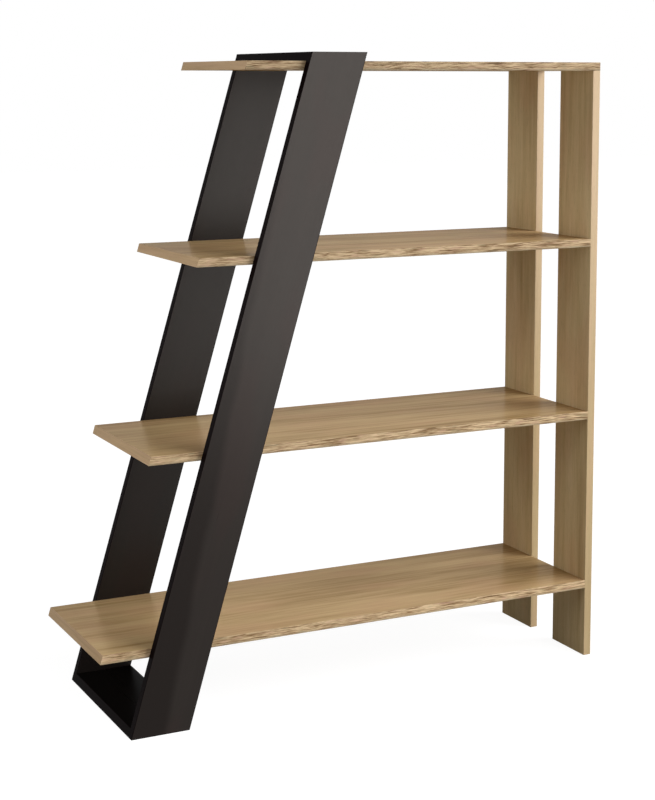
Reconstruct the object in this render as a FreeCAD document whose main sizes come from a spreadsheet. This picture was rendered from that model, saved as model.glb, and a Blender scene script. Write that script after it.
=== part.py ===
import FreeCAD, Part
import Sketcher
from collections import namedtuple
import os

# Free-standing shelving unit: four oak-faced shelves, held on the right by two upright
# boards and on the left by a dark loop of four mitred boards that leans to the right.
# Millimetres, +Z up. The origin is on the floor under the middle of the unit. X runs
# along the shelves, from their slanted free ends to the uprights, and Y runs backwards.

driving_sizes = [
    ("board_thickness", 18.0, "every board: shelves, uprights and leaning frame"),
    ("edge_band", 1.0, "strip glued on each edge that shows"),
    ("overall_height", 1350.0, "floor to the top of the leaning frame"),
    ("shelf_depth", 344.0, "shelf from front to back, bands included"),
    ("bottom_shelf_length", 1142.0, "bottom shelf's lower edge, from its tip to the uprights"),
    ("bottom_shelf_height", 156.0, "floor to the bottom shelf's underside"),
    ("upright_width", 126.0, "upright from front to back, bands included"),
    ("frame_width", 124.0, "leaning board measured level, bands included"),
    ("frame_lean_run", 398.0, "how far the frame leans over the overall height"),
    ("bottom_overhang", 101.0, "how far the bottom shelf's tip stands out past the frame"),
    ("overhang_step", 8.8, "how much further each shelf stands out than the one below"),
    ("fit_clearance", 0.05, "play all round bolts, connectors and tongues in their seats"),
    ("bore_end_play", 0.4, "free depth behind whatever sits in a blind bore"),
    ("bolt_shank_diameter", 5.0, "connecting bolt, also the core of its thread"),
    ("bolt_thread_length", 11.0, "part of the bolt that is screwed into the face"),
    ("bolt_neck_length", 3.0, "bolt from the face to its head"),
    ("bolt_head_diameter", 7.0, "head that the connector grips"),
    ("bolt_head_length", 3.0, "thickness of that head"),
    ("connector_bore_diameter", 20.0, "bore for the connector in the butting board's face"),
    ("bore_mouth_play", 0.6, "play of the bolt where that bore breaks through the joint face"),
    ("connector_play", 0.2, "play of the bolt in the connector"),
    ("connector_roof", 1.2, "connector's wall past the bolt's head"),
    ("spline_thickness", 4.0, "plywood tongue in each mitre of the frame"),
    ("spline_width", 14.0, "tongue across the mitre"),
    ("spline_inset", 3.0, "tongue's middle plane off the mitre's middle, inwards"),
    ("spline_margin", 16.0, "tongue's ends to the edges of the frame board"),
]
band_chamfer_share = 0.4

document = FreeCAD.newDocument("shelving_unit")


class Size:
    # A length as a formula for the document and as its value now, so that what is drawn
    # starts in the right place and then follows the sheet.
    def __init__(self, formula, value):
        self.formula = formula
        self.value = value

    def joined(self, sign, other, value):
        return Size(f"({self.formula} {sign} {other.formula})", value)

    def __add__(self, other):
        return self.joined("+", other, self.value + other.value)

    def __sub__(self, other):
        return self.joined("-", other, self.value - other.value)

    def __mul__(self, other):
        other = as_size(other)
        return self.joined("*", other, self.value * other.value)

    def __truediv__(self, other):
        other = as_size(other)
        return self.joined("/", other, self.value / other.value)

    def __neg__(self):
        return zero - self

    def square_root(self):
        return Size(f"sqrt({self.formula})", self.value ** 0.5)


def as_size(number):
    return number if isinstance(number, Size) else Size(str(number), float(number))


def fill_sheet():
    sheet = document.addObject("Spreadsheet::Sheet", "Sizes")
    sizes = {}
    for row, (alias, value, meaning) in enumerate(driving_sizes, 1):
        sheet.set(f"A{row}", meaning)
        sheet.set(f"B{row}", str(value))
        sheet.setAlias(f"B{row}", alias)
        sizes[alias] = Size(f"Sizes.{alias}", value)
    document.recompute()
    return namedtuple("DrivingSizes", sizes)(**sizes)


zero = as_size(0)
size = fill_sheet()
thick = size.board_thickness
band = size.edge_band

# The frame's lean, level run per unit of height, and a band measured level on it.
lean = size.frame_lean_run / size.overall_height
slanted_band = band * (as_size(1) + lean * lean).square_root()

# Planes and lines that several boards share.
shelf_names = ["shelf_bottom", "shelf_lower", "shelf_upper", "shelf_top"]
top_shelf = len(shelf_names) - 1
inner_x = (size.bottom_shelf_length - thick) / 2
outer_x = inner_x + thick
rear_y = size.shelf_depth / 2
front_y = -rear_y
upright_height = size.overall_height - thick * 2
shelf_pitch = (upright_height - size.bottom_shelf_height) / top_shelf
frame_at_shelf_x = inner_x - size.bottom_shelf_length + size.bottom_overhang
frame_x = frame_at_shelf_x - lean * size.bottom_shelf_height
frame_front_y = front_y - thick
frame_depth = size.shelf_depth + thick * 2
front_upright_y = front_y + size.upright_width / 2
rear_upright_y = rear_y - size.upright_width / 2

to_rear = FreeCAD.Vector(0, 1, 0)
to_front = FreeCAD.Vector(0, -1, 0)
to_left = FreeCAD.Vector(-1, 0, 0)
to_right = FreeCAD.Vector(1, 0, 0)
down = FreeCAD.Vector(0, 0, -1)
up = FreeCAD.Vector(0, 0, 1)

sub_parts = {}


def bind(feature, path, value):
    feature.setExpression(path, value.formula)


def place_point(sketch, element, end, u, v):
    for kind, distance in (("DistanceX", u), ("DistanceY", v)):
        constraint = Sketcher.Constraint(kind, -1, 1, element, end, distance.value)
        bind(sketch, f"Constraints[{sketch.addConstraint(constraint)}]", distance)


def draw_outline(sketch, points):
    corners = [FreeCAD.Vector(u.value, v.value, 0) for u, v in points]
    for number, corner in enumerate(corners):
        sketch.addGeometry(Part.LineSegment(corner, corners[(number + 1) % len(corners)]))
    for number, (u, v) in enumerate(points):
        following = (number + 1) % len(points)
        sketch.addConstraint(Sketcher.Constraint("Coincident", number, 2, following, 1))
        place_point(sketch, number, 1, u, v)


def draw_circle(sketch, u, v, diameter):
    middle = FreeCAD.Vector(u.value, v.value, 0)
    circle = sketch.addGeometry(Part.Circle(middle, up, diameter.value / 2))
    place_point(sketch, circle, 3, u, v)
    constraint = Sketcher.Constraint("Diameter", circle, diameter.value)
    bind(sketch, f"Constraints[{sketch.addConstraint(constraint)}]", diameter)


def slanted_outline(length, height, left_lean, right_lean):
    return [
        (zero, zero),
        (length, zero),
        (length + height * right_lean, height),
        (height * left_lean, height),
    ]


def rectangle(left, low, length, height):
    return [(left, low), (left + length, low), (left + length, low + height), (left, low + height)]


class Piece:
    # One body, with the sketches and features that shape it in its own coordinates.
    def __init__(self, name):
        self.name = name
        self.steps = 0
        self.body = document.addObject("PartDesign::Body", name)
        self.body.Label = name

    def step_name(self, word):
        self.steps += 1
        return f"{self.name}_{word}_{self.steps}"

    def sketch(self, role, level=zero):
        sketch = self.body.newObject("Sketcher::SketchObject", self.step_name("sketch"))
        planes = self.body.Origin.OriginFeatures
        plane = next(item for item in planes if item.Role == role)
        sketch.AttachmentSupport = [(plane, "")]
        sketch.MapMode = "FlatFace"
        bind(sketch, "AttachmentOffset.Base.z", level)
        return sketch

    def feature(self, kind, sketch, length, along_normal):
        feature = self.body.newObject(f"PartDesign::{kind}", self.step_name(kind.lower()))
        feature.Profile = sketch
        feature.Reversed = along_normal != (kind == "Pad")
        if length is None:
            feature.Type = "ThroughAll"
        else:
            bind(feature, "Length", length)
        return feature

    def pad(self, sketch, length, along_normal=True):
        return self.feature("Pad", sketch, length, along_normal)

    def pocket(self, sketch, length=None, along_normal=False):
        return self.feature("Pocket", sketch, length, along_normal)

    def place(self, corner):
        for axis, distance in zip("xyz", corner):
            bind(self.body, f"Placement.Base.{axis}", distance)

    def chamfer(self, edges, width):
        document.recompute()
        last = self.body.Tip
        chosen = edges(last.Shape)
        names = [
            f"Edge{number}"
            for number, edge in enumerate(last.Shape.Edges, 1)
            if any(edge.isSame(other) for other in chosen)
        ]
        chamfer = self.body.newObject("PartDesign::Chamfer", self.step_name("chamfer"))
        chamfer.Base = (last, names)
        bind(chamfer, "Size", width)


class Board(Piece):
    # A board drawn by its outline seen from the front and padded backwards. Its bores are
    # given in the unit's coordinates and moved to the board's own.
    def __init__(self, name, corner, outline, depth):
        super().__init__(name)
        self.corner = dict(zip("xyz", corner))
        sketch = self.sketch("XZ_Plane")
        draw_outline(sketch, outline)
        self.pad(sketch, depth, along_normal=False)
        self.place(corner)
        sub_parts[name] = self.body

    def drill(self, role, level, centres, diameter, depth, along_normal=False):
        axes = role[:2].lower()
        sketch = self.sketch(role, level)
        for centre in centres:
            u, v = (getattr(centre, axis) - self.corner[axis] for axis in axes)
            draw_circle(sketch, u, v, diameter)
        self.pocket(sketch, depth, along_normal)

    def cut_mitre(self, corners):
        sketch = self.sketch("YZ_Plane")
        draw_outline(sketch, corners)
        self.pocket(sketch, along_normal=True)

    def ease_outer_edges(self, outward):
        # The two long edges of the side that faces outwards lose their sharpness.
        def long_edges(shape):
            side = max(shape.Faces, key=lambda face: face.normalAt(0, 0).dot(outward))
            return sorted(side.Edges, key=lambda edge: edge.Length)[-2:]

        self.chamfer(long_edges, band * band_chamfer_share)


# A fixing is a point in the plane where two boards meet and the way from there into the
# board that butts. A bolt stands in the other board, and a connector in this one grips it.
Fixing = namedtuple("Fixing", "x y z way")


def shelf_underside(number):
    return upright_height - shelf_pitch * (top_shelf - number)


def shelf_tip(number):
    # The slanted ends follow the frame.
    overhang = size.bottom_overhang + size.overhang_step * number
    return frame_x + lean * shelf_underside(number) - overhang


def leg_fixings(number):
    z = shelf_underside(number) + thick / 2
    x = frame_x + size.frame_width / 2 + lean * z
    return [Fixing(x, front_y, z, to_rear), Fixing(x, rear_y, z, to_front)]


def upright_fixings(number):
    # The shelves below the top butt against the uprights, which butt against the top one.
    if number < top_shelf:
        x, z, way = inner_x, shelf_underside(number) + thick / 2, to_left
    else:
        x, z, way = inner_x + thick / 2, upright_height, down
    return [Fixing(x, front_upright_y, z, way), Fixing(x, rear_upright_y, z, way)]


# The connector's bore breaks through the joint face, just wide enough for the bolt's neck.
bore_radius = size.connector_bore_diameter / 2
bore_mouth = size.bolt_shank_diameter / 2 + size.bore_mouth_play
bore_setback = (bore_radius * bore_radius - bore_mouth * bore_mouth).square_root()


def bore_middle(fixing):
    places = []
    for axis in "xyz":
        places.append(getattr(fixing, axis) + bore_setback * getattr(fixing.way, axis))
    return Fixing(*places, fixing.way)


to_legs = [leg_fixings(number) for number in range(len(shelf_names))]
to_uprights = [upright_fixings(number) for number in range(len(shelf_names))]

thread_bore = size.bolt_shank_diameter + size.fit_clearance * 2
thread_bore_depth = size.bolt_thread_length + size.bore_end_play
connector_height = (thick + size.bolt_head_diameter) / 2 + size.connector_play + size.connector_roof
connector_bore_depth = connector_height + size.bore_end_play


def make_shelf(number):
    name = shelf_names[number]
    is_top = number == top_shelf
    right_x = outer_x if is_top else inner_x
    left_x = shelf_tip(number)
    underside = shelf_underside(number)
    core_x = left_x + slanted_band
    core_y = front_y + band
    core_depth = size.shelf_depth - band * 2
    bore = size.connector_bore_diameter

    core_outline = slanted_outline(right_x - band - core_x, thick, lean, zero)
    core = Board(name, (core_x, core_y, underside), core_outline, core_depth)
    connectors = [bore_middle(fixing) for fixing in to_legs[number]]
    end_connectors = [bore_middle(fixing) for fixing in to_uprights[number] if not is_top]
    core.drill("XY_Plane", zero, connectors + end_connectors, bore, connector_bore_depth, True)
    if is_top:
        core.drill("XY_Plane", zero, to_uprights[number], thread_bore, thread_bore_depth, True)

    long_outline = slanted_outline(right_x - left_x, thick, lean, zero)
    sides = [("front", front_y, to_front), ("rear", rear_y - band, to_rear)]
    for connector, (side, y, outward) in zip(connectors, sides):
        strip = Board(f"{name}_{side}_band", (left_x, y, underside), long_outline, band)
        strip.ease_outer_edges(outward)
        strip.drill("XY_Plane", zero, [connector], bore, connector_bore_depth, True)

    tip_outline = slanted_outline(slanted_band, thick, lean, lean)
    tip = Board(f"{name}_tip_band", (left_x, core_y, underside), tip_outline, core_depth)
    tip.ease_outer_edges(to_left)

    end_outline = slanted_outline(band, thick, zero, zero)
    end = Board(f"{name}_end_band", (right_x - band, core_y, underside), end_outline, core_depth)
    end.ease_outer_edges(to_right)
    if not is_top:
        end.drill("XY_Plane", zero, end_connectors, bore, connector_bore_depth, True)


def make_upright(side, middle_y):
    end = 0 if side == "front" else 1
    name = f"upright_{side}"
    start_y = middle_y - size.upright_width / 2
    outline = slanted_outline(thick, upright_height, zero, zero)
    core_depth = size.upright_width - band * 2
    core = Board(name, (inner_x, start_y + band, zero), outline, core_depth)
    bolts = [fixings[end] for fixings in to_uprights[:top_shelf]]
    core.drill("YZ_Plane", zero, bolts, thread_bore, thread_bore_depth, True)
    connector = bore_middle(to_uprights[top_shelf][end])
    core.drill("YZ_Plane", thick, [connector], size.connector_bore_diameter, connector_bore_depth)
    strips = (("front", start_y, to_front), ("rear", start_y + size.upright_width - band, to_rear))
    for edge, y, outward in strips:
        strip = Board(f"{name}_{edge}_band", (inner_x, y, zero), outline, band)
        strip.ease_outer_edges(outward)


# The frame's four mitres: where each lies, and how its plane is turned about X.
Mitre = namedtuple("Mitre", "y z angle")
mitres = {
    "front_foot": Mitre(front_y - thick / 2, thick / 2, -45),
    "rear_foot": Mitre(rear_y + thick / 2, thick / 2, 45),
    "front_head": Mitre(front_y - thick / 2, size.overall_height - thick / 2, -135),
    "rear_head": Mitre(rear_y + thick / 2, size.overall_height - thick / 2, 135),
}
spline_length = size.frame_width - size.spline_margin * 2


def spline_start(mitre):
    return frame_x + lean * mitre.z + size.spline_margin


def cut_spline_groove(board, mitre, along_normal):
    sketch = board.sketch("XZ_Plane")
    sketch.AttachmentOffset = FreeCAD.Placement(FreeCAD.Vector(), FreeCAD.Rotation(to_right, mitre.angle))
    bind(sketch, "AttachmentOffset.Base.y", mitre.z - board.corner["z"])
    bind(sketch, "AttachmentOffset.Base.z", board.corner["y"] - mitre.y)
    play = size.fit_clearance
    left = spline_start(mitre) - board.corner["x"] - play
    low = size.spline_inset - size.spline_thickness / 2 - play
    draw_outline(sketch, rectangle(left, low, spline_length + play * 2, size.spline_thickness + play * 2))
    board.pocket(sketch, size.spline_width / 2 + size.bore_end_play, along_normal)


def make_frame_board(name, corner, height, depth, mitre_cuts):
    # A core and its two edge bands, sheared alike and mitred alike.
    x, y, z = corner
    core_width = size.frame_width - slanted_band * 2
    strips = [
        ("", x + slanted_band, core_width, None),
        ("_left_band", x, slanted_band, to_left),
        ("_right_band", x + slanted_band + core_width, slanted_band, to_right),
    ]
    boards = []
    for ending, left, width, outward in strips:
        outline = slanted_outline(width, height, lean, lean)
        board = Board(name + ending, (left, y, z), outline, depth)
        for corners in mitre_cuts:
            board.cut_mitre(corners)
        if outward:
            board.ease_outer_edges(outward)
        boards.append(board)
    return boards[0]


def make_frame():
    tall = size.overall_height
    deep = frame_depth
    front_cuts = [
        [(zero, zero), (thick, zero), (thick, thick)],
        [(zero, tall), (thick, tall), (thick, tall - thick)],
    ]
    rear_cuts = [
        [(thick, zero), (zero, zero), (zero, thick)],
        [(thick, tall), (zero, tall), (zero, tall - thick)],
    ]
    base_cuts = [
        [(zero, zero), (zero, thick), (thick, thick)],
        [(deep, zero), (deep, thick), (deep - thick, thick)],
    ]
    top_cuts = [
        [(zero, thick), (zero, zero), (thick, zero)],
        [(deep, thick), (deep, zero), (deep - thick, zero)],
    ]
    top_x = frame_x + lean * (tall - thick)
    front_leg = make_frame_board("frame_leg_front", (frame_x, frame_front_y, zero), tall, thick, front_cuts)
    rear_leg = make_frame_board("frame_leg_rear", (frame_x, rear_y, zero), tall, thick, rear_cuts)
    base = make_frame_board("frame_base", (frame_x, frame_front_y, zero), thick, deep, base_cuts)
    top = make_frame_board("frame_top", (top_x, frame_front_y, tall - thick), thick, deep, top_cuts)

    legs = [(front_leg, -thick, True), (rear_leg, zero, False)]
    for end, (leg, level, along_normal) in enumerate(legs):
        bolts = [fixings[end] for fixings in to_legs]
        leg.drill("XZ_Plane", level, bolts, thread_bore, thread_bore_depth, along_normal)

    cut_spline_groove(front_leg, mitres["front_foot"], True)
    cut_spline_groove(base, mitres["front_foot"], False)
    cut_spline_groove(rear_leg, mitres["rear_foot"], False)
    cut_spline_groove(base, mitres["rear_foot"], True)
    cut_spline_groove(front_leg, mitres["front_head"], False)
    cut_spline_groove(top, mitres["front_head"], True)
    cut_spline_groove(rear_leg, mitres["rear_head"], True)
    cut_spline_groove(top, mitres["rear_head"], False)


def make_connector():
    # A round housing cut flat where it meets the joint. A slot that is open to the joint
    # and to the board's face takes the bolt's neck, and is wider where its head sits.
    connector = Piece("connector")
    radius = bore_radius - size.fit_clearance
    disc = connector.sketch("XY_Plane")
    draw_circle(disc, bore_setback, zero, radius * 2)
    connector.pad(disc, connector_height)
    nose = connector.sketch("XY_Plane")
    draw_outline(nose, rectangle(-radius, -radius, radius, radius * 2))
    connector.pocket(nose, along_normal=True)
    play = size.connector_play
    head_start = size.bolt_neck_length
    steps = [
        (zero, head_start, size.bolt_shank_diameter),
        (head_start - play, size.bolt_head_length + play * 2, size.bolt_head_diameter),
    ]
    for start, length, diameter in steps:
        width = diameter + play * 2
        slot = connector.sketch("XY_Plane")
        draw_outline(slot, rectangle(start, -width / 2, length, width))
        connector.pocket(slot, (thick + width) / 2, along_normal=True)
    return connector.body


def make_bolt():
    # Thread core below the joint face, then neck and head.
    shank = size.bolt_shank_diameter / 2
    head = size.bolt_head_diameter / 2
    head_start = size.bolt_neck_length
    head_end = head_start + size.bolt_head_length
    bolt = Piece("bolt")
    sketch = bolt.sketch("XZ_Plane")
    profile = [
        (zero, -size.bolt_thread_length),
        (shank, -size.bolt_thread_length),
        (shank, head_start),
        (head, head_start),
        (head, head_end),
        (zero, head_end),
    ]
    draw_outline(sketch, profile)
    turned = bolt.body.newObject("PartDesign::Revolution", "bolt_turned")
    turned.Profile = sketch
    turned.ReferenceAxis = (sketch, ["V_Axis"])
    return bolt.body


def make_spline():
    spline = Piece("spline")
    sketch = spline.sketch("XZ_Plane")
    low = size.spline_inset - size.spline_thickness / 2
    draw_outline(sketch, rectangle(zero, low, spline_length, size.spline_thickness))
    tongue = spline.pad(sketch, size.spline_width)
    tongue.SideType = "Symmetric"
    return spline.body


def gather(name, piece, seats):
    # One sub-part of several like pieces, each a solid of its own at its seat.
    copies = []
    for number, (corner, turn) in enumerate(seats, 1):
        copy = document.addObject("App::Link", f"{name}_{number}")
        copy.LinkedObject = piece
        copy.Placement = FreeCAD.Placement(FreeCAD.Vector(), turn)
        for axis, distance in zip("xyz", corner):
            bind(copy, f"Placement.Base.{axis}", distance)
        copies.append(copy)
    group = document.addObject("Part::Compound", name)
    group.Label = name
    group.Links = copies
    sub_parts[name] = group


def bolt_seat(fixing):
    return (fixing.x, fixing.y, fixing.z), FreeCAD.Rotation(up, fixing.way)


def connector_seat(fixing, inward):
    # A connector's origin is in the joint, on the face that its bore goes in from.
    corner = [getattr(fixing, axis) - thick / 2 * getattr(inward, axis) for axis in "xyz"]
    return corner, FreeCAD.Rotation(fixing.way, inward.cross(fixing.way), inward, "ZXY")


def make_fittings():
    connector, bolt, spline = make_connector(), make_bolt(), make_spline()
    for number, name in enumerate(shelf_names):
        fixings = to_legs[number] + (to_uprights[number] if number < top_shelf else [])
        gather(f"{name}_connectors", connector, [connector_seat(fixing, up) for fixing in fixings])
        gather(f"{name}_bolts", bolt, [bolt_seat(fixing) for fixing in fixings])
    fixings = to_uprights[top_shelf]
    gather("upright_connectors", connector, [connector_seat(fixing, to_left) for fixing in fixings])
    gather("upright_bolts", bolt, [bolt_seat(fixing) for fixing in fixings])
    seats = [
        ((spline_start(mitre), mitre.y, mitre.z), FreeCAD.Rotation(to_right, mitre.angle))
        for mitre in mitres.values()
    ]
    gather("frame_splines", spline, seats)


def check_model():
    for item in document.Objects:
        if "Invalid" in item.State or "Error" in item.State:
            raise RuntimeError(f"{item.Name} failed: {item.State}")
        if item.TypeId in ("PartDesign::Pocket", "PartDesign::Chamfer"):
            before = item.BaseFeature.Shape.Volume
            if item.Shape.Volume >= before:
                raise RuntimeError(f"{item.Name} takes nothing away")
    for name, item in sub_parts.items():
        if item.Shape.isNull() or not item.Shape.isValid():
            raise RuntimeError(f"{name} has no valid shape")


def write_parts():
    os.makedirs("parts", exist_ok=True)
    for name, item in sub_parts.items():
        item.Shape.exportStep(f"parts/{name}.step")
        print(f"{name}: {len(item.Shape.Solids)} solids, {item.Shape.Volume / 1000:.1f} cm3")


for shelf in range(len(shelf_names)):
    make_shelf(shelf)
make_upright("front", front_upright_y)
make_upright("rear", rear_upright_y)
make_frame()
make_fittings()
document.recompute()
check_model()
write_parts()
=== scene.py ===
import math

import bpy
from mathutils import Euler, Matrix, Vector


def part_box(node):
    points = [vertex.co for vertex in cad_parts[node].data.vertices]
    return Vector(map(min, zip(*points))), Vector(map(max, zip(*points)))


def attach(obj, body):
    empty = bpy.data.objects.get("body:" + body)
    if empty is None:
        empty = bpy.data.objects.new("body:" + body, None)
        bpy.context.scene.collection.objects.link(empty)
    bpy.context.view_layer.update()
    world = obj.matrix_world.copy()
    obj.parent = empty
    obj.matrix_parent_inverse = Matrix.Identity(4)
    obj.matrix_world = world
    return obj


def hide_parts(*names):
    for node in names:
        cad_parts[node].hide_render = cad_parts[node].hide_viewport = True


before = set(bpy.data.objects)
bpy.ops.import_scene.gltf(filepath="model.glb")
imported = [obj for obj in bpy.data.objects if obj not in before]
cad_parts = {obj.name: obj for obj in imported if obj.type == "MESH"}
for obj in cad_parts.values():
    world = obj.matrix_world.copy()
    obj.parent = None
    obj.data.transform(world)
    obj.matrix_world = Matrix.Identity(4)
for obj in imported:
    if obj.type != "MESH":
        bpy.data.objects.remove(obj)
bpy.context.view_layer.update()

mm = 0.001
print("frame loaded:", len(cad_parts), "nodes")


# Colours are written as they look on a screen, 0 to 255.
def paint(red, green, blue):
    linear = []
    for value in (red, green, blue):
        share = value / 255
        linear.append(share / 12.92 if share <= 0.04045 else ((share + 0.055) / 1.055) ** 2.4)
    return (*linear, 1.0)


# A number inside a node tree. Sums with it add Math nodes to the tree.
class Field:
    def __init__(self, graph, socket):
        self.graph = graph
        self.socket = socket

    def __add__(self, other):
        return self.graph.sum("ADD", self, other)

    def __radd__(self, other):
        return self.graph.sum("ADD", other, self)

    def __sub__(self, other):
        return self.graph.sum("SUBTRACT", self, other)

    def __rsub__(self, other):
        return self.graph.sum("SUBTRACT", other, self)

    def __mul__(self, other):
        return self.graph.sum("MULTIPLY", self, other)

    def __rmul__(self, other):
        return self.graph.sum("MULTIPLY", other, self)

    def __truediv__(self, other):
        return self.graph.sum("DIVIDE", self, other)

    def __rtruediv__(self, other):
        return self.graph.sum("DIVIDE", other, self)

    def __abs__(self):
        return self.graph.sum("ABSOLUTE", self)


class Graph:
    def __init__(self, tree):
        self.tree = tree

    # Settings come first because some of them change which sockets a node has.
    def add(self, kind, settings=None, sockets=None, output=0):
        node = self.tree.nodes.new(kind)
        for name, value in (settings or {}).items():
            if name == "stops":
                self.fillRamp(node.color_ramp, value)
            else:
                setattr(node, name, value)
        for name, value in (sockets or {}).items():
            if isinstance(value, (list, tuple)) and value and isinstance(value[0], Field):
                for part in reversed(value):
                    self.tree.links.new(part.socket, node.inputs[name])
            elif isinstance(value, Field):
                self.tree.links.new(value.socket, node.inputs[name])
            else:
                node.inputs[name].default_value = value
        if output == "all":
            return [Field(self, socket) for socket in node.outputs]
        return Field(self, node.outputs[output]) if len(node.outputs) else None

    def fillRamp(self, ramp, stops):
        while len(ramp.elements) < len(stops):
            ramp.elements.new(1.0)
        for element, (place, colour) in zip(ramp.elements, stops):
            element.position = place
            element.color = colour

    def sum(self, operation, *values):
        return self.add("ShaderNodeMath", {"operation": operation}, dict(enumerate(values)))

    def vector(self, x, y, z):
        return self.add("ShaderNodeCombineXYZ", {}, {0: x, 1: y, 2: z})

    def split(self, vector):
        return self.add("ShaderNodeSeparateXYZ", {}, {0: vector}, "all")

    def ramp(self, value, low, high):
        sockets = {"Value": value, "From Min": low, "From Max": high}
        return self.add("ShaderNodeMapRange", {"interpolation_type": "SMOOTHSTEP"}, sockets)

    def stops(self, value, stops):
        return self.add("ShaderNodeValToRGB", {"stops": stops}, {0: value})

    def blend(self, share, first, second):
        sockets = {0: share, 6: first, 7: second}
        return self.add("ShaderNodeMix", {"data_type": "RGBA"}, sockets, 2)

    def tint(self, colour, share):
        # Darkens a colour, or lightens it past 1, by a number.
        grey = self.add("ShaderNodeCombineColor", {}, {0: share, 1: share, 2: share})
        settings = {"data_type": "RGBA", "blend_type": "MULTIPLY"}
        return self.add("ShaderNodeMix", settings, {0: 1.0, 6: colour, 7: grey}, 2)

    def noise(self, place, scales, detail=2.0, roughness=0.5, distortion=0.0):
        # Each direction has its own number of waves per metre.
        x, y, z = [part * scale for part, scale in zip(place, scales)]
        sockets = {"Vector": self.vector(x, y, z), "Scale": 1.0, "Detail": detail,
                   "Roughness": roughness, "Distortion": distortion}
        return self.add("ShaderNodeTexNoise", {}, sockets)

    def place(self):
        return self.split(self.add("ShaderNodeTexCoord", {}, {}, "Object"))

    def facing(self):
        return self.split(self.add("ShaderNodeNewGeometry", {}, {}, "Normal"))

    def finish(self, colour, roughness, height, relief, **constants):
        bumpSockets = {"Height": height, "Distance": relief, "Strength": 1.0}
        bump = self.add("ShaderNodeBump", {}, bumpSockets)
        sockets = {"Base Color": colour, "Roughness": roughness, "Normal": bump}
        sockets.update(constants)
        surface = self.add("ShaderNodeBsdfPrincipled", {}, sockets)
        self.add("ShaderNodeOutputMaterial", {}, {"Surface": surface})


def newMaterial(name):
    material = bpy.data.materials.new(name)
    material.use_nodes = True
    material.node_tree.nodes.clear()
    return material, Graph(material.node_tree)


# What the frame's packed sizes say about where the boards lie.
boards = {
    "thick": 18 * mm,
    "shelfCount": 4,
    "shelfBase": 165 * mm,       # middle of the bottom shelf's thickness
    "shelfPitch": 386 * mm,
    "uprightMiddle": 571 * mm,
    "legMiddle": 181 * mm,       # from the plane between front and rear
    "frameHeight": 1350 * mm,
    "frameWidth": 124 * mm,
    "frameLeft": -525 * mm,      # left edge of the leaning frame at the floor
    "lean": 398 / 1350,          # level run per unit of height
    "skin": 0.6 * mm,            # within this of a board's face, the surface is laminate
    "flat": 0.9,                 # how squarely a laminated face looks along its axis
}


def laminated(graph, distance, facing):
    # 1 on a board's two broad faces, 0 on its cut ends and in its bores.
    near = graph.sum("GREATER_THAN", distance, boards["thick"] / 2 - boards["skin"])
    flat = graph.sum("GREATER_THAN", abs(facing), boards["flat"])
    return near * flat


def aboveShelfMiddle(graph, z):
    # Shelves follow each other at one pitch, so one sum finds the nearest one's middle.
    half = boards["shelfPitch"] / 2
    return graph.sum("MODULO", z - boards["shelfBase"] + half, boards["shelfPitch"]) - half


# A pattern is written as its waves per metre in three directions, then its detail, and its
# roughness and distortion where they aren't the usual ones.
# Chipboard shows where no laminate or band covers a board: in bores and on the cut feet.
chipboard = {
    "chipsPerMetre": 420,
    "dust": ((900, 900, 900), 3.0),
    "pale": paint(206, 178, 136),
    "dark": paint(128, 98, 62),
    "chipShare": 0.7,
    "dustShare": 0.5,
    "lowTone": 0.1,
    "seams": (0.3, 0.75),        # from the middle of a chip to its rim
    "seamShade": 0.35,
    "relief": 0.25,
    "swell": 4,                  # relief of the chips against that of the laminate
    "dullness": 0.4,             # how much rougher than the laminate
}


def chipboardPattern(graph, x, y, z):
    sockets = {"Vector": graph.vector(x, y, z), "Scale": chipboard["chipsPerMetre"]}
    distance, shade, *_ = graph.add("ShaderNodeTexVoronoi", {}, sockets, "all")
    chip = graph.split(shade)[0]
    edge = graph.ramp(distance, *chipboard["seams"])
    dust = graph.noise((x, y, z), *chipboard["dust"])
    tone = chip * chipboard["chipShare"] + dust * chipboard["dustShare"] - chipboard["lowTone"]
    colour = graph.blend(tone, chipboard["dark"], chipboard["pale"])
    colour = graph.tint(colour, 1 - edge * chipboard["seamShade"])
    return colour, (1 - edge) * chipboard["relief"]


# Oak-grain laminate: what the shelves and uprights share, then what sets them apart.
oak = {
    "rosy": paint(203, 160, 124),
    "rosiness": 0.28,
    "rosyRange": (0.42, 0.66),
    "pore": 0.82,
    "poreRange": (0.60, 0.70),
    "wander": 0.012,             # how far the grain wanders sideways, in metres
    "drift": ((1.6, 4.0, 3.0), 2.0),
    "blotches": ((2.2, 16, 9), 3.0, 0.55),
    "streaks": ((3.4, 95, 31), 3.0, 0.6),
    "lines": ((9.0, 420, 57), 2.0, 0.6),
    "flushes": ((5, 11, 7), 2.0),
    "dashes": ((55, 1500, 120), 1.0, 0.4),
    "blotchShare": 1.5,
    "lineShare": 0.7,
    "rearRange": (-0.05, 0.05),  # from the front upright to the rear one, in metres
    "lineDullness": 0.12,
    "poreDullness": 0.12,
    "poreDepth": 0.8,
    "lineDepth": 0.4,
    "relief": 0.08 * mm,
}

shelfOak = {
    "tones": [paint(164, 134, 90), paint(193, 163, 118), paint(207, 178, 132)],
    "streakShare": 1.5,
    "rearPaintedLight": 0.0,
    "roughness": 0.20,
    "gloss": 0.15,               # share of a faint mirror in the colour of the grain
    "specular": 0.0,
}

uprightOak = {
    "tones": [paint(180, 153, 110), paint(204, 180, 136), paint(216, 193, 150)],
    "streakShare": 0.9,
    # painted light: the rear upright is made paler, where it gets less light than the front one
    "rearPaintedLight": 0.07,            # how much paler the rear upright is
    "roughness": 0.40,
    "gloss": 0.0,
    "specular": 0.01,
}


def thirdAxis(along, across):
    return next(axis for axis in "xyz" if axis not in (along, across))


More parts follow.
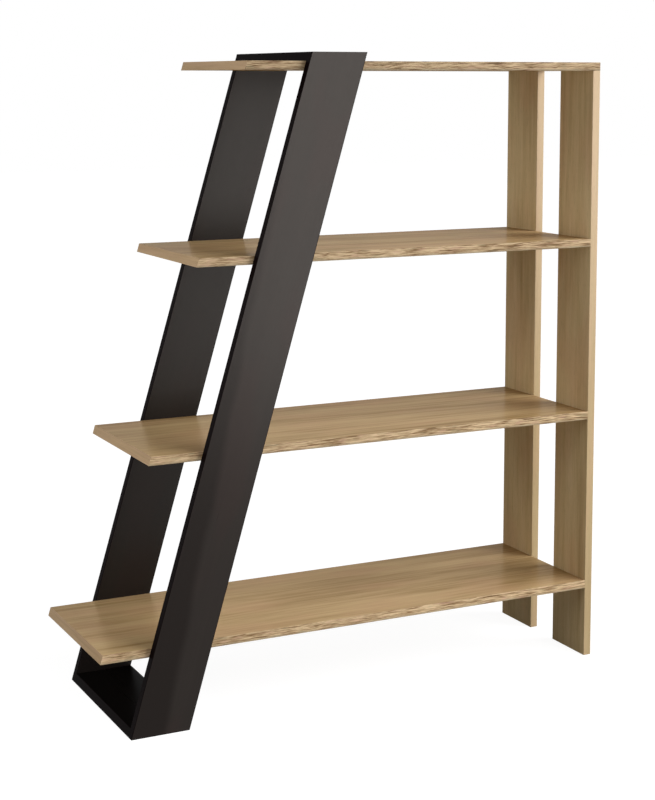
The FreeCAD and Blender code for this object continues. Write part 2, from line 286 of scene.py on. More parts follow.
def oakColour(graph, along, across, depth, look):
    # The grain runs along one axis. Blotches are a hand wide, streaks a finger, lines a hair.
    drift = graph.noise((along, across, depth), *oak["drift"])
    place = (along, across + (drift - 0.5) * oak["wander"] * 2, depth)
    blotch = graph.noise(place, *oak["blotches"])
    streak = graph.noise(place, *oak["streaks"])
    line = graph.noise(place, *oak["lines"])
    tone = (blotch - 0.5) * oak["blotchShare"] + (streak - 0.5) * look["streakShare"]
    tone = tone + (line - 0.5) * oak["lineShare"] + 0.5
    colour = graph.stops(tone, list(zip((0.0, 0.5, 1.0), look["tones"])))
    flush = graph.noise(place, *oak["flushes"])
    rosiness = graph.ramp(flush, *oak["rosyRange"]) * oak["rosiness"]
    colour = graph.blend(rosiness, colour, oak["rosy"])
    pores = graph.ramp(graph.noise(place, *oak["dashes"]), *oak["poreRange"])
    colour = graph.tint(colour, 1 - pores * (1 - oak["pore"]))
    return colour, line, pores


def makeOak(name, look, along, across, fromMiddle):
    material, graph = newMaterial(name)
    x, y, z = graph.place()
    axes = {"x": x, "y": y, "z": z}
    normals = dict(zip("xyz", graph.facing()))
    depth = thirdAxis(along, across)
    wood, line, pores = oakColour(graph, axes[along], axes[across], axes[depth], look)
    # Painted light: the rear upright's laminate is tinted paler where less light reaches it.
    if look["rearPaintedLight"]:
        wood = graph.tint(wood, 1 + graph.ramp(y, *oak["rearRange"]) * look["rearPaintedLight"])
    skin = laminated(graph, fromMiddle(graph, axes), normals[depth])
    chips, rough = chipboardPattern(graph, x, y, z)
    colour = graph.blend(skin, chips, wood)
    sheen = {"Specular IOR Level": look["specular"]}
    if look["gloss"]:
        sheen["Metallic"] = skin * look["gloss"]
    roughness = look["roughness"] + (line - 0.5) * oak["lineDullness"]
    roughness = roughness + pores * oak["poreDullness"] + (1 - skin) * chipboard["dullness"]
    grain = (1 - pores) * oak["poreDepth"] + line * oak["lineDepth"]
    height = skin * grain + (1 - skin) * rough * chipboard["swell"]
    graph.finish(colour, roughness, height, oak["relief"], **sheen)
    return material


def fromShelfMiddle(graph, axes):
    return abs(aboveShelfMiddle(graph, axes["z"]))


def fromUprightMiddle(graph, axes):
    return abs(axes["x"] - boards["uprightMiddle"])


oakShelf = makeOak("oakShelfLaminate", shelfOak, "x", "y", fromShelfMiddle)
oakUpright = makeOak("oakUprightLaminate", uprightOak, "z", "y", fromUprightMiddle)
print("oak laminates made")


# Edge bands of the long shelf edges: coarse open grain of short strokes.
coarseBand = {
    "cream": paint(206, 180, 143),
    "middle": paint(168, 142, 108),
    "brown": paint(126, 98, 66),
    "deep": paint(94, 72, 47),
    "places": {"deep": 0.0, "brown": 0.24, "middle": 0.46, "cream": 0.74},
    "olive": paint(134, 126, 96),
    "oliveRange": (0.60, 0.74),
    "pink": paint(196, 158, 135),
    "pinkRange": (0.44, 0.28),
    "tinge": 0.4,                # share of olive and of pink
    # painted shade of the lower arris, greying the lowest quarter of each band
    "grey": paint(140, 131, 108),
    "paintedShadeRange": (-4 * mm, -7 * mm),
    "paintedShadeStrokes": (0.3, 0.6),
    "paintedShadeShare": 0.6,
    # painted light and shade: the bands' brightness changes from the bottom shelf to the top
    # one
    "low": 1.10,                 # brightness of the bottom shelf's band, and of the top one's
    "high": 0.78,
    "waves": ((38, 9, 12), 1.0),
    "slowWaves": ((7, 5, 5), 1.0),
    "strokes": ((21, 40, 430), 2.0, 0.55, 0.3),
    "fineStrokes": ((80, 60, 1300), 2.0, 0.6),
    "patches": ((11, 8, 7), 2.0),
    "hues": ((30, 30, 160), 1.0),
    "dive": 2.5,                 # how deep the strokes dive, in millimetres
    "diveGain": 4,               # and how much deeper at the top, in millimetres
    "slowDive": 9,               # the same for the slow waves
    "heightRange": (0.3, 1.3),   # from low to high, in metres
    "lengthRange": (-0.5, 0.5),  # from the tips to the uprights, in metres
    "contrast": 1.5,
    "contrastGain": 0.7,
    "fineShare": 0.9,
    "patchShare": 0.5,
    "roughness": 0.5,
    "toneDullness": 0.2,
    "specular": 0.12,
    "relief": 0.25 * mm,
}


def coarseStrokes(graph, x, y, z):
    # Strokes dive across the edge in short waves, more so on the higher shelves, and they
    # stand out more towards the uprights.
    height = graph.ramp(z, *coarseBand["heightRange"])
    wave = graph.noise((x, y, z), *coarseBand["waves"])
    slow = graph.noise((x, y, z), *coarseBand["slowWaves"])
    level = z + (wave - 0.5) * (coarseBand["dive"] * mm + height * coarseBand["diveGain"] * mm)
    level = level + (slow - 0.5) * coarseBand["slowDive"] * mm
    stroke = graph.noise((x, y, level), *coarseBand["strokes"])
    fine = graph.noise((x, y, level), *coarseBand["fineStrokes"])
    patch = graph.noise((x, y, z), *coarseBand["patches"])
    towards = graph.ramp(x, *coarseBand["lengthRange"])
    contrast = towards * coarseBand["contrastGain"] + coarseBand["contrast"]
    tone = (stroke - 0.5) * contrast + (fine - 0.5) * coarseBand["fineShare"]
    tone = tone + (patch - 0.5) * coarseBand["patchShare"] + 0.5
    return level, stroke, tone


def makeCoarseBand(name):
    material, graph = newMaterial(name)
    x, y, z = graph.place()
    level, stroke, tone = coarseStrokes(graph, x, y, z)
    places = coarseBand["places"]
    colour = graph.stops(tone, [(places[shade], coarseBand[shade]) for shade in places])
    hue = graph.noise((x, y, level), *coarseBand["hues"])
    for shade in ("olive", "pink"):
        share = graph.ramp(hue, *coarseBand[shade + "Range"]) * coarseBand["tinge"]
        colour = graph.blend(share, colour, coarseBand[shade])
    # Painted shade: the lowest quarter of each band is greyer, where its lower arris is shaded.
    lowerArrisShade = graph.ramp(aboveShelfMiddle(graph, z), *coarseBand["paintedShadeRange"])
    share = lowerArrisShade * graph.ramp(stroke, *coarseBand["paintedShadeStrokes"]) * coarseBand["paintedShadeShare"]
    colour = graph.blend(share, colour, coarseBand["grey"])
    # Painted light and shade: each band is tinted brighter or darker by its height.
    span = boards["shelfPitch"] * (boards["shelfCount"] - 1)
    rise = (z - boards["shelfBase"]) * ((coarseBand["high"] - coarseBand["low"]) / span)
    colour = graph.tint(colour, rise + coarseBand["low"])
    roughness = coarseBand["roughness"] + (0.5 - tone) * coarseBand["toneDullness"]
    sheen = {"Specular IOR Level": coarseBand["specular"]}
    graph.finish(colour, roughness, tone, coarseBand["relief"], **sheen)
    return material


# Plain bands: the slanted tips, the hidden ends and the uprights' slim edges.
plainBand = {
    "tip": {"pale": paint(202, 171, 130), "dark": paint(169, 138, 99), "paintedLightShare": 0.0},
    "slim": {"pale": paint(189, 167, 129), "dark": paint(171, 148, 110), "paintedLightShare": 0.5},
    # Painted light: the slim edges turn paler towards the top, where more light falls on them.
    "paintedLightColour": paint(203, 179, 154),
    "paintedLightRange": (0.3, 1.3),   # heights between which the slim edges grow paler, in metres
    "rosy": paint(196, 159, 129),
    "rosiness": 0.25,
    "rosyRange": (0.45, 0.65),
    "broad": ((3.0, 60, 40), 2.0),
    "streaks": ((9.0, 330, 200), 3.0, 0.6),
    "dashes": ((60, 1500, 900), 1.0),
    "flushes": ((4, 60, 30), 1.0),
    "broadShare": 1.2,
    "streakShare": 1.3,
    "poreRange": (0.6, 0.72),
    "poreShade": 0.15,
    "poreDepth": 0.5,
    "streakDepth": 0.6,
    "streakDullness": 0.15,
    "roughness": 0.48,
    "specular": 0.1,
    "relief": 0.06 * mm,
}


def makePlainBand(name, look, along, across):
    material, graph = newMaterial(name)
    axes = dict(zip("xyz", graph.place()))
    place = (axes[along], axes[across], axes[thirdAxis(along, across)])
    broad = graph.noise(place, *plainBand["broad"])
    streak = graph.noise(place, *plainBand["streaks"])
    pores = graph.ramp(graph.noise(place, *plainBand["dashes"]), *plainBand["poreRange"])
    tone = (broad - 0.5) * plainBand["broadShare"] + (streak - 0.5) * plainBand["streakShare"]
    tone = tone + 0.5
    flush = graph.noise(place, *plainBand["flushes"])
    rosiness = graph.ramp(flush, *plainBand["rosyRange"]) * plainBand["rosiness"]
    colour = graph.blend(tone, look["dark"], look["pale"])
    colour = graph.blend(rosiness, colour, plainBand["rosy"])
    # Painted light: the slim edges grow paler with height.
    paintedLightShare = graph.ramp(axes["z"], *plainBand["paintedLightRange"]) * look["paintedLightShare"]
    colour = graph.blend(paintedLightShare, colour, plainBand["paintedLightColour"])
    colour = graph.tint(colour, 1 - pores * plainBand["poreShade"])
    roughness = plainBand["roughness"] + (streak - 0.5) * plainBand["streakDullness"]
    height = streak * plainBand["streakDepth"] + (1 - pores) * plainBand["poreDepth"]
    sheen = {"Specular IOR Level": plainBand["specular"]}
    graph.finish(colour, roughness, height, plainBand["relief"], **sheen)
    return material


oakLongBand = makeCoarseBand("oakLongEdgeBand")
oakTipBand = makePlainBand("oakTipEdgeBand", plainBand["tip"], "y", "z")
oakSlimBand = makePlainBand("oakUprightEdgeBand", plainBand["slim"], "z", "x")
print("oak edge bands made")


# Dark laminate of the leaning frame. Its grain follows each board.
wenge = {
    "legPale": paint(38, 33, 30),
    "legDark": paint(31, 26, 24),
    "crossPale": paint(19, 16, 15),
    "crossDark": paint(12, 10, 9),
    "bandPale": paint(21, 12, 13),
    "bandDark": paint(12, 8, 8),
    "wander": 14,                # how far the grain wanders sideways, in millimetres
    "drift": ((1.5, 5, 5), 2.0),
    "broad": ((1.8, 24, 20), 2.0),
    "streaks": ((4.0, 150, 90), 3.0, 0.6),
    "dashes": ((45, 1300, 600), 1.0),
    "broadShare": 1.2,
    "streakShare": 0.7,
    "poreRange": (0.58, 0.7),
    "poreShade": 0.1,
    "poreDepth": 0.6,
    "poreDullness": 0.02,
    "streakDepth": 0.4,
    "streakDullness": 0.03,
    "roughness": 0.28,
    "legSpecular": 0.17,
    "crossSpecular": 0.005,
    "bandSpecular": 0.004,
    "sheen": paint(255, 247, 240),
    "relief": 0.02 * mm,
}

# Only the legs: reddish flushes, a dark stripe along the front leg's left edge, and a rear
# leg that is duller and, as painted shade, darker as a whole.
wengeLegs = {
    "russet": paint(41, 29, 27),
    "flushes": ((4, 12, 6), 1.0),
    "russetRange": (0.45, 0.6),
    "russetShare": 0.4,
    "stripe": paint(15, 8, 6),
    "stripeWidth": 70 * mm,      # at the floor; it narrows upwards
    "stripeTaper": 60 * mm,      # lost per metre of height
    "stripeSway": 20,            # how far its edge sways, in millimetres
    "swayWaves": ((6, 3, 1), 1.0),
    "stripeEdge": (10 * mm, -12 * mm),
    "frontRange": (0.05, -0.05),  # from the rear leg to the front one, in metres
    "rearPaintedShade": 0.5,
    "rearDulling": 0.055,        # how much rougher the rear leg is
}


def wengeColour(graph, along, across, depth, pale, dark):
    drift = graph.noise((along, across, depth), *wenge["drift"])
    place = (along, across + (drift - 0.5) * wenge["wander"] * mm, depth)
    broad = graph.noise(place, *wenge["broad"])
    streak = graph.noise(place, *wenge["streaks"])
    pores = graph.ramp(graph.noise(place, *wenge["dashes"]), *wenge["poreRange"])
    tone = (broad - 0.5) * wenge["broadShare"] + (streak - 0.5) * wenge["streakShare"] + 0.5
    colour = graph.tint(graph.blend(tone, dark, pale), 1 - pores * wenge["poreShade"])
    return colour, streak, pores


def wengeLegColour(graph, colour, across, y, z):
    flush = graph.noise((z, across, y), *wengeLegs["flushes"])
    share = graph.ramp(flush, *wengeLegs["russetRange"]) * wengeLegs["russetShare"]
    colour = graph.blend(share, colour, wengeLegs["russet"])
    front = graph.ramp(y, *wengeLegs["frontRange"])
    sway = graph.noise((z, y, 0.0), *wengeLegs["swayWaves"]) - 0.5
    reach = wengeLegs["stripeWidth"] - z * wengeLegs["stripeTaper"]
    reach = reach + sway * wengeLegs["stripeSway"] * mm
    inside = graph.ramp(across - boards["frameLeft"] - reach, *wengeLegs["stripeEdge"])
    colour = graph.blend(inside * front, colour, wengeLegs["stripe"])
    # Painted shade: the rear leg is darkened as a whole.
    shade = front * (1 - wengeLegs["rearPaintedShade"]) + wengeLegs["rearPaintedShade"]
    return graph.tint(colour, shade), front


def wengeSkin(graph, upright, y, z):
    if upright:
        return laminated(graph, abs(abs(y) - boards["legMiddle"]), graph.facing()[1])
    half = boards["frameHeight"] / 2
    distance = abs(abs(z - half) - half + boards["thick"] / 2)
    return laminated(graph, distance, graph.facing()[2])


def makeWenge(name, kind, upright):
    material, graph = newMaterial(name)
    x, y, z = graph.place()
    if upright:
        # Grain runs up the leaning legs, so it is measured along and across their lean.
        along, across, depth = z, x - z * boards["lean"], y
    else:
        along, across, depth = y, x, z
    pale, dark = wenge[kind + "Pale"], wenge[kind + "Dark"]
    colour, streak, pores = wengeColour(graph, along, across, depth, pale, dark)
    roughness = wenge["roughness"] + (streak - 0.5) * wenge["streakDullness"]
    roughness = roughness + pores * wenge["poreDullness"]
    if kind == "leg":
        colour, front = wengeLegColour(graph, colour, across, y, z)
        roughness = roughness + (1 - front) * wengeLegs["rearDulling"]
    height = streak * wenge["streakDepth"] + (1 - pores) * wenge["poreDepth"]
    if kind != "band":
        skin = wengeSkin(graph, upright, y, z)
        chips, rough = chipboardPattern(graph, x, y, z)
        colour = graph.blend(skin, chips, colour)
        roughness = roughness + (1 - skin) * chipboard["dullness"]
        height = skin * height + (1 - skin) * rough * chipboard["swell"]
    sheen = {"Specular IOR Level": wenge[kind + "Specular"], "Specular Tint": wenge["sheen"]}
    graph.finish(colour, roughness, height, wenge["relief"], **sheen)
    return material


wengeLeg = makeWenge("wengeLegLaminate", "leg", True)
wengeCross = makeWenge("wengeCrossLaminate", "cross", False)
wengeLegBand = makeWenge("wengeLegEdgeBand", "band", True)
wengeCrossBand = makeWenge("wengeCrossEdgeBand", "band", False)
print("dark laminates made")


# Birch plywood of the hidden tongues, in thin plies.
plywood = {
    "pale": paint(226, 200, 158),
    "dark": paint(190, 156, 112),
    "plies": 900,
    "plyRange": (-0.3, 0.3),
    "fibres": ((30, 700, 700), 3.0),
    "fibreShare": 0.5,
    "fibreDullness": 0.15,
    "roughness": 0.6,
    "specular": 0.2,
    "relief": 0.1 * mm,
}


def makePlywood():
    material, graph = newMaterial("birchPlywood")
    x, y, z = graph.place()
    # The tongues lie at half a right angle, so plies alternate with height plus depth.
    layers = graph.sum("SINE", (abs(y) + z) * plywood["plies"] * math.pi * 2)
    fibre = graph.noise((x, y, z), *plywood["fibres"])
    plies = graph.ramp(layers, *plywood["plyRange"]) * (1 - plywood["fibreShare"])
    tone = plies + fibre * plywood["fibreShare"]
    colour = graph.blend(tone, plywood["dark"], plywood["pale"])
    roughness = plywood["roughness"] + fibre * plywood["fibreDullness"]
    sheen = {"Specular IOR Level": plywood["specular"]}
    graph.finish(colour, roughness, tone, plywood["relief"], **sheen)
    return material


# Metals of the knock-down fittings.
metals = {
    "clouds": ((60, 60, 60), 2.0),
    "cloudShare": 0.6,
    "gritShare": 0.5,
    "lowTone": 0.05,
    "wearRange": (0.55, 0.8),
    "gritDullness": 0.25,
    "wearDullness": 0.1,
}

zinc = {
    "pale": paint(196, 197, 194),
    "dark": paint(150, 151, 149),
    "roughness": 0.38,
    "grit": ((1500, 1500, 1500), 3.0, 0.6),
    "relief": 0.04 * mm,
}

steel = {
    "pale": paint(210, 212, 214),
    "dark": paint(164, 168, 176),
    "roughness": 0.26,
    "grit": ((2600, 2600, 2600), 3.0, 0.6),
    "relief": 0.01 * mm,
}


def makeMetal(name, look):
    material, graph = newMaterial(name)
    place = graph.place()
    cloud = graph.noise(place, *metals["clouds"])
    grit = graph.noise(place, *look["grit"])
    wear = graph.ramp(grit, *metals["wearRange"])
    tone = cloud * metals["cloudShare"] + grit * metals["gritShare"] - metals["lowTone"]
    colour = graph.blend(tone, look["dark"], look["pale"])
    roughness = look["roughness"] + (grit - 0.5) * metals["gritDullness"]
    roughness = roughness + wear * metals["wearDullness"]
    graph.finish(colour, roughness, grit, look["relief"], **{"Metallic": 1.0})
    return material


birchPlywood = makePlywood()
dieCastZinc = makeMetal("dieCastZinc", zinc)
platedSteel = makeMetal("platedSteel", steel)
print("fitting materials made")


def finishFor(node):
    if node.startswith("frame_splines"):
        return birchPlywood
    if node.startswith("frame_leg"):
        return wengeLegBand if node.endswith("band") else wengeLeg
    if node.startswith("frame"):
        return wengeCrossBand if node.endswith("band") else wengeCross
    if node.startswith("upright"):
        return oakSlimBand if node.endswith("band") else oakUpright
    if node.endswith(("front_band", "rear_band")):
        return oakLongBand
    return oakTipBand if node.endswith("band") else oakShelf


fittingNodes = {"connectors": [], "bolts": []}
for nodeName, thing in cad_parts.items():
    kind = nodeName.rsplit("_", 1)[-1]
    if kind in fittingNodes:
        fittingNodes[kind].append(nodeName)
        continue
    for place in thing.material_slots:
        place.material = finishFor(nodeName)
print("boards and bands finished")


# Seats of the fittings: at each one the connecting bolt points into the butting board,
# and the connector is let in from a face that isn't seen from the front.
def findSeats():
    seats = []
    halfThick = boards["thick"] / 2
    shelfEdge = abs(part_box("shelf_bottom_front_band")[0][1])
    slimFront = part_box("upright_front_front_band")[0][1]
    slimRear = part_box("upright_front_rear_band")[1][1]
    slim = abs((slimFront + slimRear) / 2)
    inner = boards["uprightMiddle"] - halfThick
    up, left = Vector((0, 0, 1)), Vector((-1, 0, 0))
    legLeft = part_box("frame_leg_front_left_band")[0][0]
    for shelf in range(boards["shelfCount"]):
        z = boards["shelfBase"] + boards["shelfPitch"] * shelf
        x = legLeft + boards["frameWidth"] / 2 + boards["lean"] * z
        for side in (-1, 1):
            seats.append((Vector((x, side * shelfEdge, z)), Vector((0, -side, 0)), up))
            if shelf < boards["shelfCount"] - 1:
                seats.append((Vector((inner, side * slim, z)), left, up))
            else:
                # The top shelf lies on the uprights.
                head = Vector((inner + halfThick, side * slim, z - halfThick))
                seats.append((head, -up, left))
    return seats


def seatPoints(name, places):
    mesh = bpy.data.meshes.new(name)
    mesh.from_pydata([place for place, _ in places], [], [])
    turn = mesh.attributes.new("turn", "FLOAT_VECTOR", "POINT")
    for item, (_, rotation) in zip(turn.data, places):
        item.vector = rotation.to_euler()
    points = bpy.data.objects.new(name, mesh)
    bpy.context.collection.objects.link(points)
    return points


def newShapeTree(name, sizes):
    tree = bpy.data.node_groups.new(name, "GeometryNodeTree")
    tree.interface.new_socket("Seats", in_out="INPUT", socket_type="NodeSocketGeometry")
    tree.interface.new_socket("Result", in_out="OUTPUT", socket_type="NodeSocketGeometry")
    for size in sizes:
        tree.interface.new_socket(size, in_out="INPUT", socket_type="NodeSocketFloat")
    graph = Graph(tree)
    start = tree.nodes.new("NodeGroupInput")
    return graph, {socket.name: Field(graph, socket) for socket in start.outputs if socket.name}


def shifted(graph, shape, x, y, z):
    sockets = {"Geometry": shape, "Translation": graph.vector(x, y, z)}
    return graph.add("GeometryNodeTransform", {}, sockets)


def drum(graph, low, high, lowRadius, highRadius, corners):
    # A closed round solid from one level to another, with a radius at each.
    sockets = {"Vertices": corners, "Radius Top": highRadius, "Radius Bottom": lowRadius,
               "Depth": high - low}
    return shifted(graph, graph.add("GeometryNodeMeshCone", {}, sockets), 0.0, 0.0, low)


def block(graph, x, y, z, length, width, height):
    cube = graph.add("GeometryNodeMeshCube", {}, {"Size": graph.vector(length, width, height)})
    return shifted(graph, cube, x, y, z)


def cutAway(graph, shape, tools):
    settings = {"operation": "DIFFERENCE", "solver": "EXACT"}
    return graph.add("GeometryNodeMeshBoolean", settings, {0: shape, 1: tools})


def united(graph, shapes):
    settings = {"operation": "UNION", "solver": "EXACT"}
    return graph.add("GeometryNodeMeshBoolean", settings, {1: shapes})


def join(graph, shapes):
    return graph.add("GeometryNodeJoinGeometry", {}, {0: shapes})


def makeOnSeats(name, graph, inputs, shape, sizes, places, material, nodes):
    settings = {"data_type": "FLOAT_VECTOR"}
    turn = graph.add("GeometryNodeInputNamedAttribute", settings, {"Name": "turn"})
    rotation = graph.add("FunctionNodeEulerToRotation", {}, {0: turn})
    sockets = {"Points": inputs["Seats"], "Instance": shape, "Rotation": rotation}
    copies = graph.add("GeometryNodeInstanceOnPoints", {}, sockets)
    whole = graph.add("GeometryNodeRealizeInstances", {}, {0: copies})
    sockets = {"Geometry": whole, "Material": material}
    painted = graph.add("GeometryNodeSetMaterial", {}, sockets)
    graph.add("NodeGroupOutput", {}, {"Result": painted})

    points = seatPoints(name + "_seats", places)
    modifier = points.modifiers.new("shape", "NODES")
    modifier.node_group = graph.tree
    for item in graph.tree.interface.items_tree:
        if item.in_out == "INPUT" and item.name in sizes:
            modifier[item.identifier] = float(sizes[item.name])
    evaluated = points.evaluated_get(bpy.context.evaluated_depsgraph_get())
    mesh = bpy.data.meshes.new_from_object(evaluated)
    mesh.name = name
    points.modifiers.remove(modifier)
    bpy.data.objects.remove(points)
    piece = bpy.data.objects.new(name, mesh)
    bpy.context.collection.objects.link(piece)
    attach(piece, "root")
    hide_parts(*nodes)
    print(name, "made:", len(mesh.polygons), "faces")


# How many sides the round parts have.
sides = {
    "housing": 48,
    "cam": 32,
    "bolt": 24,
    "threadTurn": 18,
    "ridge": 4,
}

# The connector: a round housing cut flat at the joint, with a slot for the bolt's neck
# and head, and a cam with a cross recess that draws the bolt in.
connector = {
    "Radius": 9.95 * mm,
    "Height": 13.9 * mm,
    "Setback": 9.507 * mm,       # from the joint to the housing's middle
    "Rim": 0.5 * mm,
    "Neck": 5.4 * mm,
    "Head": 7.4 * mm,
    "Head Start": 2.8 * mm,
    "Head End": 6.2 * mm,
    "Cam Radius": 4.9 * mm,
    "Cam Middle": 12.2 * mm,
    "Cam Sink": 0.35 * mm,
    "Cam Play": 0.25 * mm,
    "Cam Depth": 3.2 * mm,
    "Recess": 6.2 * mm,
    "Recess Width": 1.3 * mm,
    "Recess Depth": 2.2 * mm,
}

# The bolt: threaded in the face it holds to, with a neck and a head for the connector.
bolt = {
    "Tip": 2.0 * mm,
    "Thread Length": 11 * mm,
    "Core Radius": 1.9 * mm,
    "Shank Radius": 2.5 * mm,
    "Collar": 1.2 * mm,
    "Neck Radius": 1.7 * mm,
    "Neck Length": 3 * mm,
    "Head Radius": 3.5 * mm,
    "Head End": 6 * mm,
    "Chamfer": 0.5 * mm,
    "Turns": 5.5,
    "Ridge": 0.55 * mm,
}

boltShares = {
    "point": 0.4,                # radius of the tip's end against the core's
    "collarRise": 0.4,           # how much of the collar's length stands out of the face
}


def makeHousing():
    graph, size = newShapeTree("connectorHousing", connector)
    radius, rimTop = size["Radius"], size["Rim"]
    rim = drum(graph, 0.0, rimTop, radius - rimTop, radius, sides["housing"])
    wall = drum(graph, rimTop, size["Height"], radius, radius, sides["housing"])
    return graph, size, shifted(graph, united(graph, [rim, wall]), size["Setback"], 0.0, 0.0)


def cutHousing(graph, size, body):
    # The nose is everything past the joint. Its cut is much larger than the housing.
    beyond = 4
    radius = size["Radius"]
    tall = size["Height"] * beyond
    wide = radius * beyond
    nose = block(graph, radius * -1, 0.0, 0.0, radius * 2, wide, tall)
    halfThick = boards["thick"] / 2
    neckTop = size["Neck"] / 2 + halfThick
    headTop = size["Head"] / 2 + halfThick
    start, end = size["Head Start"], size["Head End"]
    neck = block(graph, start / 2, 0.0, 0.0, start * 2, size["Neck"], neckTop * 2)
    headLength = end - start
    head = block(graph, (end + start) / 2, 0.0, 0.0, headLength, size["Head"], headTop * 2)
    sink = size["Cam Sink"] * -1
    wellRadius = size["Cam Radius"] + size["Cam Play"]
    well = drum(graph, sink, size["Cam Depth"], wellRadius, wellRadius, sides["cam"])
    well = shifted(graph, well, size["Cam Middle"], 0.0, 0.0)
    return cutAway(graph, body, [nose, neck, head, well])


def makeCam(graph, size):
    sink, radius = size["Cam Sink"], size["Cam Radius"]
    cam = drum(graph, sink, size["Cam Depth"], radius, radius, sides["cam"])
    length, width, depth = size["Recess"], size["Recess Width"], size["Recess Depth"]
    first = block(graph, 0.0, 0.0, sink, length, width, depth * 2)
    second = block(graph, 0.0, 0.0, sink, width, length, depth * 2)
    cam = cutAway(graph, cam, [first, second])
    return shifted(graph, cam, size["Cam Middle"], 0.0, 0.0)


def buildConnectors(seats):
    graph, size, body = makeHousing()
    shape = join(graph, [cutHousing(graph, size, body), makeCam(graph, size)])
    places = []
    for middle, way, inward in seats:
        corner = middle - inward * (boards["thick"] / 2)
        side = inward.cross(way)
        places.append((corner, Matrix((way, side, inward)).transposed()))
    makeOnSeats("connector_housings", graph, size, shape, connector, places, dieCastZinc,
                fittingNodes["connectors"])


def makeThread(graph, size, core):
    # The thread is a small ridge, swept up a spiral round the core.
    sockets = {"Resolution": sides["threadTurn"], "Rotations": size["Turns"],
               "Start Radius": core, "End Radius": core,
               "Height": size["Thread Length"] - size["Tip"] - size["Collar"]}
    spiral = graph.add("GeometryNodeCurveSpiral", {}, sockets)
    sockets = {"Resolution": sides["ridge"], "Radius": size["Ridge"]}
    ridge = graph.add("GeometryNodeCurvePrimitiveCircle", {}, sockets)
    sockets = {0: spiral, 1: ridge, "Fill Caps": True}
    return graph.add("GeometryNodeCurveToMesh", {}, sockets)


def buildBolts(seats):
    graph, size = newShapeTree("connectingBolt", bolt)
    end = size["Thread Length"] * -1
    collar = size["Collar"] * -1
    neckEnd = size["Neck Length"]
    headLow = neckEnd + size["Chamfer"]
    headHigh = size["Head End"] - size["Chamfer"]
    trimmed = size["Head Radius"] - size["Chamfer"]
    core, shank = size["Core Radius"], size["Shank Radius"]
    neck, top = size["Neck Radius"], size["Head Radius"]
    around, rise = sides["bolt"], boltShares["collarRise"]
    parts = [
        drum(graph, end, end + size["Tip"], core * boltShares["point"], core, around),
        drum(graph, end + size["Tip"], collar, core, core, around),
        drum(graph, collar, size["Collar"] * rise, shank, shank, around),
        drum(graph, size["Collar"] * rise, neckEnd, neck, neck, around),
        drum(graph, neckEnd, headLow, trimmed, top, around),
        drum(graph, headLow, headHigh, top, top, around),
        drum(graph, headHigh, size["Head End"], top, trimmed, around),
    ]
    thread = shifted(graph, makeThread(graph, size, core), 0.0, 0.0, end + size["Tip"])
    shape = join(graph, [united(graph, parts), thread])
    places = []
    for middle, way, inward in seats:
        side = inward.cross(way)
        places.append((middle, Matrix((side, way.cross(side), way)).transposed()))
    makeOnSeats("connecting_bolts", graph, size, shape, bolt, places, platedSteel,
                fittingNodes["bolts"])


seats = findSeats()
buildConnectors(seats)
buildBolts(seats)


# Plain pale floor. What the camera and reflections see of it is white but for a faint shadow.
stage = {
    "floorSize": 40,
    "white": (1, 1, 1, 1),
    "whiteNear": 0.93,
    "whiteFar": 1.0,
    "nearEdge": 0.9,             # where the floor starts to turn fully white, in metres
    "farEdge": 3.0,
    "floorShade": paint(125, 125, 125),
    "worldLevel": 0.115,
}


def seenRay(graph):
    # 1 for camera, glossy and transmission rays, which get the white background.
    seen = None
    for kind in ("Is Camera Ray", "Is Glossy Ray", "Is Transmission Ray"):
        ray = graph.add("ShaderNodeLightPath", {}, {}, kind)
        seen = ray if seen is None else graph.sum("MAXIMUM", seen, ray)
    return seen


def makeFloor():
    half = stage["floorSize"] / 2
    mesh = bpy.data.meshes.new("studio_floor")
    corners = [(-half, -half, 0), (half, -half, 0), (half, half, 0), (-half, half, 0)]
    mesh.from_pydata(corners, [], [(0, 1, 2, 3)])
    floor = bpy.data.objects.new("studio_floor", mesh)
    bpy.context.collection.objects.link(floor)
    material, graph = newMaterial("studioFloor")
    x, y, _ = graph.place()
    away = graph.sum("SQRT", x * x + y * y)
    gain = stage["whiteFar"] - stage["whiteNear"]
    white = graph.ramp(away, stage["nearEdge"], stage["farEdge"]) * gain + stage["whiteNear"]
    matt = graph.add("ShaderNodeBsdfDiffuse", {}, {"Color": stage["floorShade"]})
    glow = graph.add("ShaderNodeEmission", {}, {"Color": stage["white"], "Strength": white})
    lit = graph.add("ShaderNodeAddShader", {}, {0: matt, 1: glow})
    surface = graph.add("ShaderNodeMixShader", {}, {0: seenRay(graph), 1: matt, 2: lit})
    graph.add("ShaderNodeOutputMaterial", {}, {"Surface": surface})
    mesh.materials.append(material)


def makeBackground(graph, level):
    return graph.add("ShaderNodeBackground", {}, {"Color": stage["white"], "Strength": level})


def makeWorld():
    world = bpy.data.worlds.new("studioWorld")
    world.use_nodes = True
    world.node_tree.nodes.clear()
    graph = Graph(world.node_tree)
    ambient = makeBackground(graph, stage["worldLevel"])
    white = makeBackground(graph, 1.0)
    surface = graph.add("ShaderNodeMixShader", {}, {0: seenRay(graph), 1: ambient, 2: white})
    graph.add("ShaderNodeOutputWorld", {}, {"Surface": surface})
    bpy.context.scene.world = world


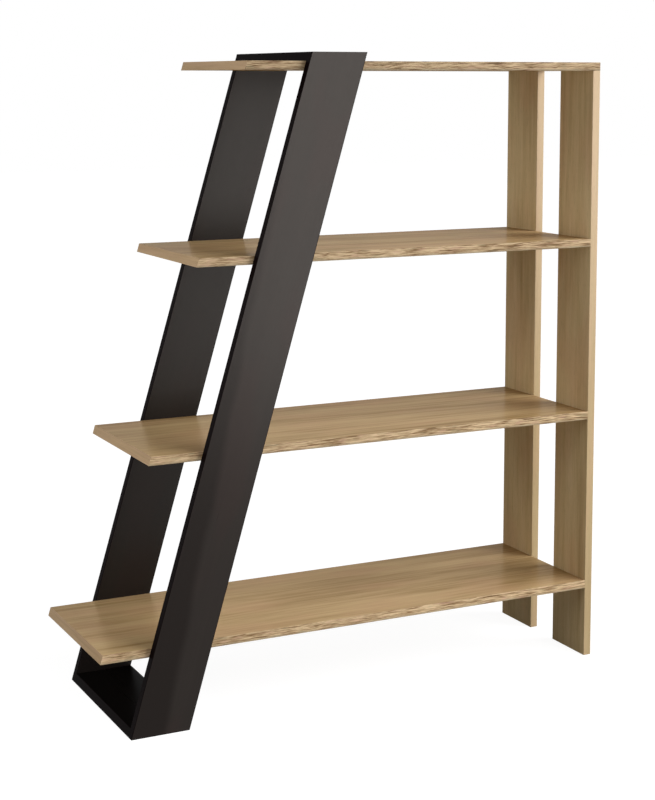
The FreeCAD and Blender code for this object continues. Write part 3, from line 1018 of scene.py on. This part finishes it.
# Each lamp: where it hangs, what it points at, its width and height, and its brightness
# where a white wall right in front of it would count as 1.
lamps = {
    "keyPanel": {
        "at": (1.25, -2.9, 1.4), "aim": (0.2, 0.0, 1.1), "size": (0.9, 2.8), "glow": 5.9,
    },
    "rightSoftbox": {
        "at": (3.0, -1.9, 2.8), "aim": (0.0, 0.0, 0.6), "size": (3.0, 3.0), "glow": 5.2,
    },
    "leftPanel": {
        "at": (-1.9, -0.6, 1.25), "aim": (0.5, 0.0, 1.0), "size": (0.9, 0.9), "glow": 4.2,
    },
    "leftRearPanel": {
        "at": (-3.0, 0.4, 2.3), "aim": (0.5, 0.0, 0.7), "size": (1.6, 1.6), "glow": 2.2,
    },
    "lowFrontPanel": {
        "at": (-0.6, -3.0, 0.7), "aim": (0.1, 0.0, 0.5), "size": (1.4, 1.0), "glow": 4.3,
    },
}


def makeLamp(name, look):
    width, height = look["size"]
    lamp = bpy.data.lights.new(name, "AREA")
    lamp.shape = "RECTANGLE"
    lamp.size = width
    lamp.size_y = height
    lamp.energy = look["glow"] * width * height * math.pi
    holder = bpy.data.objects.new(name, lamp)
    holder.location = look["at"]
    way = Vector(look["aim"]) - Vector(look["at"])
    holder.rotation_euler = way.to_track_quat("-Z", "Y").to_euler()
    bpy.context.collection.objects.link(holder)


# The camera has less vertical shift than the photo needs, and a tilt makes up for the rest.
view = {
    "at": (-1.5985, -3.2347, 1.2931),
    "tilt": 83.792,              # degrees from looking straight down
    "turn": -26.3045,
    "lens": 75.983,
    "sensor": 36,
    "shiftY": -0.17,
}


def makeCamera():
    camera = bpy.data.cameras.new("photoCamera")
    camera.lens = view["lens"]
    camera.sensor_width = view["sensor"]
    camera.shift_y = view["shiftY"]
    holder = bpy.data.objects.new("photoCamera", camera)
    holder.location = view["at"]
    holder.rotation_euler = Euler((math.radians(view["tilt"]), 0, math.radians(view["turn"])))
    bpy.context.collection.objects.link(holder)
    bpy.context.scene.camera = holder


makeFloor()
makeWorld()
for lampName, lampLook in lamps.items():
    makeLamp(lampName, lampLook)
makeCamera()
bpy.context.scene.view_settings.view_transform = "Standard"
print("stage, lamps and camera set")
